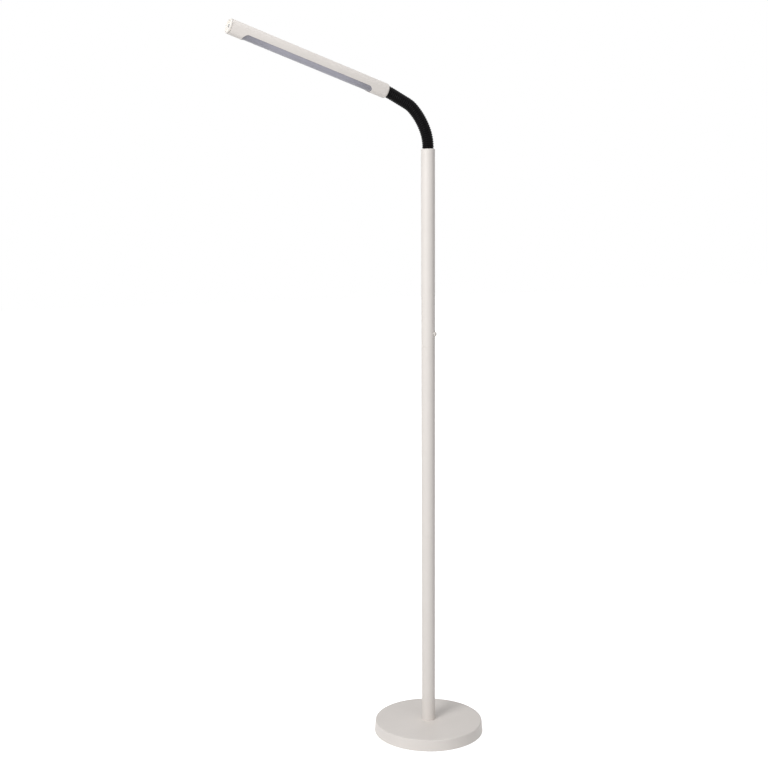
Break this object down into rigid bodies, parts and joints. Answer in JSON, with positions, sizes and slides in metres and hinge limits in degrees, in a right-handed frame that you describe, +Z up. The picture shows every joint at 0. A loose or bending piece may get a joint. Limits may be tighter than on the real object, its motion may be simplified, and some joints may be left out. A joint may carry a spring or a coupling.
{
  "type": "gooseneck floor lamp",
  "caption": "Slim reading floor lamp: a round weighted base, a three-piece pole with a push switch, and a ribbed gooseneck carrying a tubular slotted head.",
  "frame": {"origin": "floor level at the centre of the base, on the pole's axis", "axes": "+Z up along the pole; the neck bends in the XZ plane and the head points to -X; the cord leaves the base to +X"},
  "size_m": [0.4772, 0.205, 1.2895],
  "materials": {
    "cream_metal": "satin",
    "cream_plastic": "satin",
    "grey_plastic": "satin",
    "black_hose": "satin",
    "black_rubber": "matte",
    "black_plastic": "satin",
    "opal_lens": "satin",
    "cast_iron": "matte",
    "steel": "satin",
    "brass": "satin",
    "aluminium": "satin",
    "circuit_board": "satin",
    "led_phosphor": "gloss"
  },
  "bodies": {
    "stand": {"base_cover": "cream_metal", "base_weight": "cast_iron", "base_pad": "black_rubber", "base_stud": "steel", "base_washer": "steel", "base_nut": "steel", "cord_bushing": "black_plastic", "pole_tube_lower": "cream_metal", "pole_tube_middle": "cream_metal", "pole_tube_upper": "cream_metal", "pole_foot_insert": "steel", "pole_socket_lower": "steel", "pole_socket_middle": "steel", "pole_spigot_middle": "steel", "pole_spigot_upper": "steel", "pole_top_collar": "cream_metal", "neck_lower_ferrule": "brass", "neck_lower_nut": "steel", "switch_bezel": "grey_plastic", "switch_body": "black_plastic", "switch_spring": "steel", "switch_terminals": "brass", "neck_hose_1": "black_hose"},
    "button": {"switch_button": "cream_plastic"},
    "neck_1": {"neck_hose_2": "black_hose"},
    "neck_2": {"neck_hose_3": "black_hose"},
    "neck_3": {"neck_hose_4": "black_hose"},
    "neck_4": {"neck_hose_5": "black_hose"},
    "neck_5": {"neck_hose_6": "black_hose"},
    "neck_6": {"neck_hose_7": "black_hose"},
    "neck_7": {"neck_hose_8": "black_hose"},
    "neck_8": {"neck_hose_9": "black_hose"},
    "head": {"head_tube": "cream_metal", "head_rear_cap": "cream_metal", "head_front_cap": "cream_plastic", "front_cap_screw": "steel", "led_carrier": "aluminium", "led_board": "circuit_board", "led_chips": "led_phosphor", "led_board_screws": "steel", "diffuser": "opal_lens", "driver_board": "circuit_board", "driver_capacitor": "black_plastic", "driver_coil": "black_plastic", "driver_chip": "black_plastic", "neck_upper_ferrule": "brass", "neck_upper_nut": "steel"}
  },
  "joints": [
    {"name": "neck_bend", "type": "hinge", "parent": "stand", "child": "neck_1", "pos_m": [-0.00014, 0, 1.0941], "axis": [0, -1, 0], "range_deg": [-22, 13], "deforming": ["neck_hose_1"]},
    {"name": "neck_sway", "type": "hinge", "parent": "neck_1", "child": "neck_2", "pos_m": [-0.0025, 0, 1.10909], "axis": [0.968, 0, 0.2511], "range_deg": [-15, 15], "deforming": ["neck_hose_2"]},
    {"name": "neck_bend_2", "type": "hinge", "parent": "neck_2", "child": "neck_3", "pos_m": [-0.00766, 0, 1.12336], "axis": [0, -1, 0], "range_deg": [-22, 13], "deforming": ["neck_hose_3"]},
    {"name": "neck_sway_2", "type": "hinge", "parent": "neck_3", "child": "neck_4", "pos_m": [-0.01489, 0, 1.13672], "axis": [0.8442, 0, 0.5361], "range_deg": [-15, 15], "deforming": ["neck_hose_4"]},
    {"name": "neck_bend_3", "type": "hinge", "parent": "neck_4", "child": "neck_5", "pos_m": [-0.0239, 0, 1.14895], "axis": [0, -1, 0], "range_deg": [-22, 13], "deforming": ["neck_hose_5"]},
    {"name": "neck_sway_3", "type": "hinge", "parent": "neck_5", "child": "neck_6", "pos_m": [-0.0346, 0, 1.15972], "axis": [0.6211, 0, 0.7837], "range_deg": [-15, 15], "deforming": ["neck_hose_6"]},
    {"name": "neck_bend_4", "type": "hinge", "parent": "neck_6", "child": "neck_7", "pos_m": [-0.04776, 0, 1.16725], "axis": [0, -1, 0], "range_deg": [-22, 13], "deforming": ["neck_hose_7"]},
    {"name": "neck_sway_4", "type": "hinge", "parent": "neck_7", "child": "neck_8", "pos_m": [-0.06136, 0, 1.17403], "axis": [0.4462, 0, 0.8949], "range_deg": [-15, 15], "deforming": ["neck_hose_8"]},
    {"name": "neck_bend_5", "type": "hinge", "parent": "neck_8", "child": "head", "pos_m": [-0.07497, 0, 1.18081], "axis": [0, -1, 0], "range_deg": [-22, 13], "deforming": ["neck_hose_9"]},
    {"name": "button_press", "type": "slide", "parent": "stand", "child": "button", "axis": [-0.6032, 0.7976, 0], "range_m": [0, 0.0015], "stiffness_N_per_m": 600, "springref_m": -0.0015, "deforming": ["switch_spring"]}
  ],
  "couplings": [
    {"joint": "neck_bend_2", "follows": "neck_bend", "ratio": 1},
    {"joint": "neck_sway_2", "follows": "neck_sway", "ratio": 1},
    {"joint": "neck_bend_3", "follows": "neck_bend", "ratio": 1},
    {"joint": "neck_sway_3", "follows": "neck_sway", "ratio": 1},
    {"joint": "neck_bend_4", "follows": "neck_bend", "ratio": 1},
    {"joint": "neck_sway_4", "follows": "neck_sway", "ratio": 1},
    {"joint": "neck_bend_5", "follows": "neck_bend", "ratio": 1}
  ]
}
